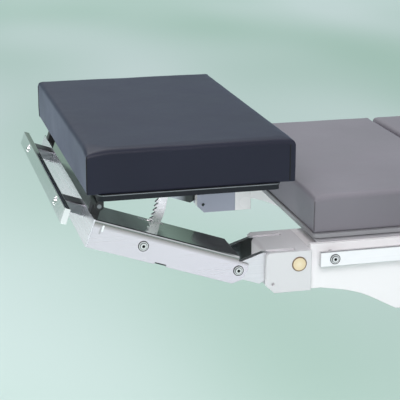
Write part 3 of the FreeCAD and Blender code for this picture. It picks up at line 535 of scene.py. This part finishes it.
FINISHES = {name: make(name, light, dark, **others) for name, make, light, dark, others in TONED_FINISHES}
FINISHES["steel_polished"] = polished("steel_polished", (0.72, 0.71, 0.72), roughness=0.07)
for finish_name, make_finish in (("steel_mirror", mirror), ("steel_arm", folded_side), ("brass", brass),
                                 ("steel_shade", shaded_steel), ("screw_steel", screw_steel)):
    FINISHES[finish_name] = make_finish(finish_name)


def cover(obj, finish):
    """Give a whole piece one finish."""
    obj.data.materials.clear()
    obj.data.materials.append(FINISHES[finish])


def finish_faces(node, finish, chosen):
    """Give one more finish to the faces of a node that a test picks."""
    mesh = frame["nodes"][node].data
    mesh.materials.append(FINISHES[finish])
    for face in mesh.polygons:
        if chosen(face):
            face.material_index = len(mesh.materials) - 1


def is_upright(face):
    """The face looks across the table."""
    return abs(face.normal.y) > ABOUT_ALONG


def looks_inward(face):
    """The face looks across the table, towards the middle plane."""
    return is_upright(face) and face.normal.y * face.center.y < 0.0


def is_in_channel(face):
    """The face of a lever is upright, and isn't an outward one in the open."""
    outward = face.normal.y * face.center.y > 0.0
    return is_upright(face) and not (outward and abs(face.center.y) > OPEN_LEVER)


def is_arm_top(face):
    """The face looks where the polished top of a folded arm does."""
    return face.normal.dot(ARM_TOP) > JUST_ALONG


def is_arm_side(face):
    """The face stands at a right angle to the top of a folded arm."""
    return abs(face.normal.dot(ARM_TOP)) < SQUARE_TO


def finish_nodes():
    """Every carried-over node gets the procedural finish of its material slot, and some a closer one."""
    for part in frame["record"]["subparts"]:
        cover(frame["nodes"][part["node"]], part["material_slot"])
    cover(frame["nodes"]["head_tray"], "steel_dark")
    cover(frame["nodes"]["ratchet_quadrants"], "steel_quadrant")
    # Painted shade on the knuckle faces that look inward
    finish_faces("knuckles", "knuckle_bare", looks_inward)
    # Painted dark reflection on the upright lever faces in the channel
    finish_faces("cranked_levers", "steel_shade", is_in_channel)
    # Painted light on the upright faces of the rails
    for node in ("back_rails", "seat_rails"):
        finish_faces(node, "steel_rail", is_upright)
    # Polished tops with painted shade towards the foot end; the arms' sides with a painted bend highlight,
    # dark reflection and marks
    for node, side in (("head_arms", "steel_arm"), ("head_crossmember", "steel_side")):
        cover(frame["nodes"][node], "steel_polished")
        finish_faces(node, "steel_mirror", is_arm_top)
        finish_faces(node, side, is_arm_side)
    # Painted shade on the screws by the distance from their axis
    for node in ("lever_screws", "back_rail_fixings", "seat_rail_fixings"):
        mark_radial(frame["nodes"][node])
        cover(frame["nodes"][node], "screw_steel")


def islands(mesh, points):
    """Groups of vertices that belong to one solid, also where a mesh is split at its edges."""
    parent = {}

    def root(key):
        while parent.setdefault(key, key) != key:
            parent[key] = parent[parent[key]]
            key = parent[key]
        return key

    keys = [tuple(np.round(point, 5).tolist()) for point in points]
    for face in mesh.polygons:
        first, *others = [root(keys[index]) for index in face.vertices]
        for other in others:
            parent[root(other)] = root(first)
    groups = {}
    for index, key in enumerate(keys):
        groups.setdefault(root(key), []).append(index)
    return list(groups.values())


def mark_radial(obj):
    """Store each vertex's distance from the axis of its own screw, which lies across the table."""
    points = coordinates(obj)
    flat = points[:, [0, 2]]
    distance = np.zeros(len(points))
    for group in islands(obj.data, points):
        own = flat[group]
        middle = (own.min(axis=0) + own.max(axis=0)) / 2.0
        distance[group] = np.linalg.norm(own - middle, axis=1)
    layer = obj.data.attributes.new("radial", "FLOAT", "POINT")
    layer.data.foreach_set("value", distance.astype(np.float32))


# Upholstery

def stations(length, edge_low, edge_high):
    """Places of grid lines along a side: close together at the corners and round the edges."""
    cells = max(2, round((length - edge_high - edge_low) / PAD_CELL))
    middle = np.linspace(edge_low, length - edge_high, cells + 1)
    low = np.linspace(0.0, edge_low, EDGE_CELLS + 1)[:-1]
    high = np.linspace(length - edge_high, length, EDGE_CELLS + 1)[1:]
    holding = [CORNER_HOLD, length - CORNER_HOLD]
    return np.array(sorted(set(np.concatenate([low, middle, high, holding]).tolist())))


def grid_box(lines):
    """Surface of a box as quads over three lists of grid lines."""
    places = {}
    faces = []
    last = [len(line) - 1 for line in lines]
    for axis in range(3):
        first, second = [other for other in range(3) if other != axis]
        for side in (0, last[axis]):
            for i in range(last[first]):
                for j in range(last[second]):
                    ring = []
                    for di, dj in ((0, 0), (1, 0), (1, 1), (0, 1)):
                        place = [side] * 3
                        place[first] = i + di
                        place[second] = j + dj
                        ring.append(places.setdefault(tuple(place), len(places)))
                    outward = (side > 0) == (axis != 1)
                    faces.append(ring if outward else ring[::-1])
    points = np.array([[line[i] for line, i in zip(lines, place)] for place in places])
    return points, faces


def round_edges(points, size, plane, radius):
    """Roll the border of the top or the underside of a box over an edge radius."""
    half = size[:2] / 2.0
    flat = points[:, :2] - half
    depth = np.abs(points[:, 2] - plane)
    border = np.min(half - np.abs(flat), axis=1)
    on_plane = depth < TINY
    reach = np.where(on_plane, border, -depth)
    touched = np.abs(reach) < radius
    turn = (np.clip(reach / radius, -1.0, 1.0) + 1.0) * math.pi / 4.0
    inset = radius * (1.0 - np.cos(turn))
    drop = radius * (1.0 - np.sin(turn))
    ring = np.where(on_plane, border, 0.0)
    scale = (half - inset[:, None]) / np.maximum(half - ring[:, None], radius)
    inward = 1.0 if plane < size[2] / 2.0 else -1.0
    points[touched, :2] = (half + flat * scale)[touched]
    points[touched, 2] = (plane + inward * drop)[touched]


def crown_and_droop(points, size, droop):
    """Swell the middle of the top and let its near corners sink, the one at the head end most."""
    half = size[:2] / 2.0
    share = np.clip(np.abs(points[:, :2] - half) / half, 0.0, 1.0)
    height = points[:, 2] / size[2]
    middle = (1.0 - share[:, 0] ** 4) * (1.0 - share[:, 1] ** 4)
    sink = np.zeros(len(points))
    for place, amount in ((0.0, 1.0), (size[0], FOOT_CORNER_SHARE)):
        corner = np.linalg.norm(points[:, :2] - np.array((place, 0.0)), axis=1)
        sink += amount * np.clip(1.0 - corner / DROOP_REACH, 0.0, 1.0) ** 2
    points[:, 2] += height * (CROWN * middle - droop * sink)


def places_of(ends, size):
    """Place in X and inward direction of each named end of a pad."""
    places = {"head": (0.0, 1.0), "foot": (size[0], -1.0)}
    return [places[end] for end in ends]


def lean_ends(points, size, leans):
    """Slope the ends that face a section hinge, below the height of its axis."""
    for end, inward in places_of(leans, size):
        near = np.clip(1.0 - np.abs(points[:, 0] - end) / LEAN_REACH, 0.0, 1.0)
        fall = np.maximum(size[2] - HINGE_EDGE - points[:, 2], 0.0)
        points[:, 0] += inward * fall * HINGE_LEAN * near


def round_ends(points, size, rounds):
    """Push the top corner of the ends that clear a hinge back to a larger radius."""
    for end, inward in places_of(rounds, size):
        across = HINGE_EDGE - inward * (points[:, 0] - end)
        up = points[:, 2] - (size[2] - HINGE_EDGE)
        reach = np.hypot(across, up)
        outside = (across > 0.0) & (up > 0.0) & (reach > HINGE_EDGE)
        pull = np.where(outside, HINGE_EDGE / np.maximum(reach, TINY), 1.0)
        points[:, 0] += inward * across * (1.0 - pull)
        points[:, 2] -= up * (1.0 - pull)


def inflate(piece):
    """Blow the cover up from inside as cloth, and keep each point within the cap of where it was."""
    start = coordinates(piece)
    cloth = piece.modifiers.new("cloth", "CLOTH")
    cloth.settings.use_pressure = True
    cloth.settings.uniform_pressure_force = CLOTH_PRESSURE
    cloth.settings.effector_weights.gravity = 0.0
    cloth.point_cache.frame_start = 1
    cloth.point_cache.frame_end = CLOTH_FRAMES
    for number in range(1, CLOTH_FRAMES + 1):
        bpy.context.scene.frame_set(number)
    apply_modifiers(piece)
    bpy.context.scene.frame_set(1)
    moved = coordinates(piece) - start
    length = np.linalg.norm(moved, axis=1, keepdims=True)
    moved *= np.minimum(1.0, CLOTH_CAP / np.maximum(length, TINY))
    store(piece, start + moved)


def subdivide(piece):
    modifier = piece.modifiers.new("subdivide", "SUBSURF")
    modifier.levels = modifier.render_levels = 1
    apply_modifiers(piece)
    smooth(piece.data)


def upholster(node, name, finish, body, grow, leans=(), rounds=(), droop=CORNER_DROOP):
    """Stuffed pad in place of its solid, grown by a few millimetres at its foot end, far side and top."""
    low, high = (np.array(corner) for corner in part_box(node))
    high = high + np.array(grow)
    size = high - low - np.array([2 * SWELL, 2 * SWELL, SWELL])
    edge = PAD_EDGE - SWELL
    lines = [stations(length, edge_low, edge) for length, edge_low in zip(size, (edge, edge, UNDER_EDGE))]
    points, faces = grid_box(lines)
    round_edges(points, size, size[2], edge)
    round_edges(points, size, 0.0, UNDER_EDGE)
    round_ends(points, size, rounds)
    crown_and_droop(points, size, droop)
    lean_ends(points, size, leans)
    mesh = bpy.data.meshes.new(name)
    mesh.from_pydata((points + low + np.array([SWELL, SWELL, 0.0])).tolist(), [], faces)
    piece = link(bpy.data.objects.new(name, mesh))
    inflate(piece)
    subdivide(piece)
    store(piece, np.clip(coordinates(piece), low, high))
    cover(piece, finish)
    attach(piece, body)
    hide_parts(node)
    return piece


def surface_point(tree, outside, aim):
    """Where a line from outside first meets the pad."""
    hit = tree.ray_cast(outside, (aim - outside).normalized())[0]
    return hit if hit is not None else aim


def seam(tree, name, body, corner, outward, heights, finish):
    """Upright stitched seam that follows the surface of a finished pad, given as a tree of its faces; its
    dark thread is painted shade of the seam's groove.
    """
    curve = bpy.data.curves.new(name, "CURVE")
    curve.dimensions = "3D"
    curve.bevel_depth = THREAD_RADIUS
    curve.bevel_resolution = 2
    curve.use_fill_caps = True
    spline = curve.splines.new("POLY")
    spline.points.add(SEAM_POINTS - 1)
    for point, height in zip(spline.points, heights):
        aim = Vector((*corner, height))
        point.co = (*surface_point(tree, aim + outward, aim), 1.0)
    drawn = link(bpy.data.objects.new(name + "_curve", curve))
    mesh = as_mesh(drawn)
    bpy.data.objects.remove(drawn)
    smooth(mesh)
    thread = link(bpy.data.objects.new(name, mesh))
    cover(thread, finish)
    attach(thread, body)


def corner_seams(piece, node, body, finish, rounds=(), foot_setback=0.0):
    """Seams at the four corners; a setback moves those of the foot end along the long sides."""
    mesh = piece.data
    tree = BVHTree.FromPolygons([v.co for v in mesh.vertices], [p.vertices for p in mesh.polygons])
    low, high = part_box(node)
    for end, x, out_x, setback in (("head", low.x, -1.0, 0.0), ("foot", high.x, 1.0, foot_setback)):
        edge = HINGE_EDGE if end in rounds else PAD_EDGE
        heights = np.linspace(low.z + UNDER_EDGE, high.z - edge * SEAM_TOP, SEAM_POINTS)
        for (side, out_y), y in zip(SIDES, (low.y, high.y)):
            corner = (x - out_x * (setback or SEAM_INSET), y - out_y * SEAM_INSET)
            outward = Vector((0.0 if setback else out_x, out_y, 0.0)) * SEAM_VIEW
            seam(tree, piece.name + "_seam_" + end + "_" + side, body, corner, outward, heights, finish)


def upholstery():
    """The dark head cushion and the light ones; the ends at a section hinge are rounded, and some lean."""
    head = upholster("head_pad", "head_cushion", "vinyl_slate", "head_plate", HEAD_GROWTH,
                     droop=HEAD_CORNER_DROOP)
    corner_seams(head, "head_pad", "head_plate", "seam_dark", foot_setback=HEAD_SEAM_SETBACK)
    for node, name, body, leans, rounds in (
            ("upper_back_pad", "upper_back_cushion", "back", (), ()),
            ("lower_back_pad", "lower_back_cushion", "back", ("foot",), ("foot",)),
            ("seat_pad", "seat_cushion", "seat", ("head",), ("head", "foot")),
            ("leg_pad_near", "leg_cushion_near", "leg_near", (), ("head",)),
            ("leg_pad_far", "leg_cushion_far", "leg_far", (), ("head",))):
        piece = upholster(node, name, "vinyl_mauve", body, PAD_GROWTH, leans, rounds)
        corner_seams(piece, node, body, "seam_mauve", rounds)


# Small pieces that the frame doesn't have

def seals():
    """Soft strips that close the gap between the back boards and the side frames."""
    size = [high - low for low, high in SEAL]
    middle = [(high + low) / 2.0 for low, high in SEAL]
    for name, side in SIDES:
        builder = bmesh.new()
        bmesh.ops.create_cube(builder, size=1.0)
        bmesh.ops.scale(builder, vec=size, verts=builder.verts)
        bmesh.ops.bevel(builder, geom=builder.edges, offset=SEAL_EDGE, segments=2, affect="EDGES",
                        profile=0.5)
        bmesh.ops.translate(builder, vec=(middle[0], side * middle[1], middle[2]), verts=builder.verts)
        strip = built("back_seal_" + name, builder)
        cover(strip, "seal_grey")
        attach(strip, "back")


def knuckle_screws():
    """Small socket screws in the inner faces of the two knuckles, each turned from its profile."""
    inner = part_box("knuckles")[1].y - KNUCKLE_WIDTH
    x, z = KNUCKLE_SCREW
    for name, side in SIDES:
        builder = bmesh.new()
        outline = [builder.verts.new((x + radius, side * (inner - height), z))
                   for radius, height in SCREW_PROFILE]
        edges = [builder.edges.new(pair) for pair in zip(outline, outline[1:])]
        bmesh.ops.spin(builder, geom=outline + edges, cent=(x, 0.0, z), axis=ACROSS, angle=2.0 * math.pi,
                       steps=SCREW_SIDES, use_merge=True)
        bmesh.ops.remove_doubles(builder, verts=builder.verts, dist=WELD)
        bmesh.ops.recalc_face_normals(builder, faces=builder.faces)
        screw = built("knuckle_screw_" + name, builder)
        # Painted dark reflection: the screws take the levers' shaded steel
        cover(screw, "steel_shade")
        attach(screw, "back")


# Stage, light and camera

def floor():
    """Wide floor with painted soft bands of light, and a painted glow a little far behind the table."""
    builder = bmesh.new()
    bmesh.ops.create_grid(builder, x_segments=1, y_segments=1, size=FLOOR_REACH)
    plane = built("floor", builder)
    made = Material("floor", (0.55, 0.66, 0.62), roughness=0.7)
    # Painted soft bands of light, slanting across the floor
    drift = made.noise(scale=0.55, detail=1.0, stretch=(1.0, 0.5, 1.0), turn=FLOOR_SLANT)
    made.colours(drift, (0.46, 0.63, 0.55), (0.74, 0.82, 0.83), start=0.35, end=0.65)
    # Painted glow far behind the table, where emission stands in for light
    glow = made.ranged(made.along(ACROSS), *GLOW_REACH, low=0.0, high=FAR_GLOW)
    made.links.new(glow, made.shader.inputs["Emission Strength"])
    made.set(Emission_Color=(0.62, 0.95, 0.78, 1.0))
    plane.data.materials.append(made.material)


def sky():
    """Environment for the reflections: dim at the horizon, bright overhead."""
    world = bpy.data.worlds.new("studio")
    bpy.context.scene.world = world
    world.use_nodes = True
    nodes = world.node_tree.nodes
    links = world.node_tree.links
    direction = nodes.new("ShaderNodeTexCoord")
    split = nodes.new("ShaderNodeSeparateXYZ")
    ramp = nodes.new("ShaderNodeValToRGB")
    fill_ramp(ramp, [(0.0, (0.22, 0.34, 0.28)), (0.22, (0.36, 0.46, 0.42)), (0.75, (0.92, 0.97, 1.0))])
    links.new(direction.outputs["Generated"], split.inputs["Vector"])
    links.new(split.outputs["Z"], ramp.inputs["Fac"])
    links.new(ramp.outputs["Color"], nodes["Background"].inputs["Color"])
    nodes["Background"].inputs["Strength"].default_value = SKY_STRENGTH


def softbox(name, place, target, size, power, colour=(1.0, 1.0, 1.0)):
    """Rectangular lamp that looks from its place at a target and isn't seen itself."""
    data = bpy.data.lights.new(name, "AREA")
    data.shape = "RECTANGLE"
    data.size, data.size_y = size
    data.energy = power
    data.color = colour
    lamp = link(bpy.data.objects.new(name, data))
    lamp.location = place
    lamp.rotation_mode = "QUATERNION"
    lamp.rotation_quaternion = (Vector(target) - Vector(place)).to_track_quat("-Z", "Y")
    lamp.visible_camera = False


def light():
    sky()
    softbox("key", place=(-1.5, 0.9, 3.4), target=(-0.7, 0.0, 0.8), size=(2.8, 2.4), power=55.0)
    softbox("front", place=(-1.7, -3.2, 2.6), target=(-0.7, -0.2, 0.85), size=(2.0, 1.6), power=84.0,
            colour=(1.0, 0.96, 1.0))
    softbox("low_front", place=(0.2, -2.2, 0.3), target=(-0.7, -0.3, 0.8), size=(3.4, 0.9), power=4.3,
            colour=(1.0, 0.90, 0.98))
    softbox("under", place=(-1.15, -0.15, 0.3), target=(-0.62, 0.2, 0.8), size=(0.4, 0.4), power=3.0,
            colour=(1.0, 0.93, 0.97))
    softbox("back_left", place=(-2.5, 2.8, 0.4), target=(-0.99, -0.2, 0.85), size=(1.0, 0.9), power=1.8,
            colour=(1.0, 0.92, 0.98))


def camera():
    azimuth = math.radians(CAMERA_AZIMUTH)
    elevation = math.radians(CAMERA_ELEVATION)
    back = Vector((math.sin(azimuth) * math.cos(elevation), -math.cos(azimuth) * math.cos(elevation),
                   math.sin(elevation)))
    right = Vector((0.0, 0.0, 1.0)).cross(back).normalized()
    up = back.cross(right)
    turn = Matrix((right, up, back)).transposed() @ Matrix.Rotation(math.radians(CAMERA_ROLL), 3, "Z")
    data = bpy.data.cameras.new("camera")
    data.lens = CAMERA_LENS
    data.clip_start = 0.05
    data.clip_end = 100.0
    eye = link(bpy.data.objects.new("camera", data))
    eye.matrix_world = Matrix.Translation(CAMERA_PLACE) @ turn.to_4x4()
    bpy.context.scene.camera = eye


bpy.context.scene.view_settings.view_transform = "Standard"
camera()
light()
floor()
finish_nodes()
upholstery()
seals()
knuckle_screws()
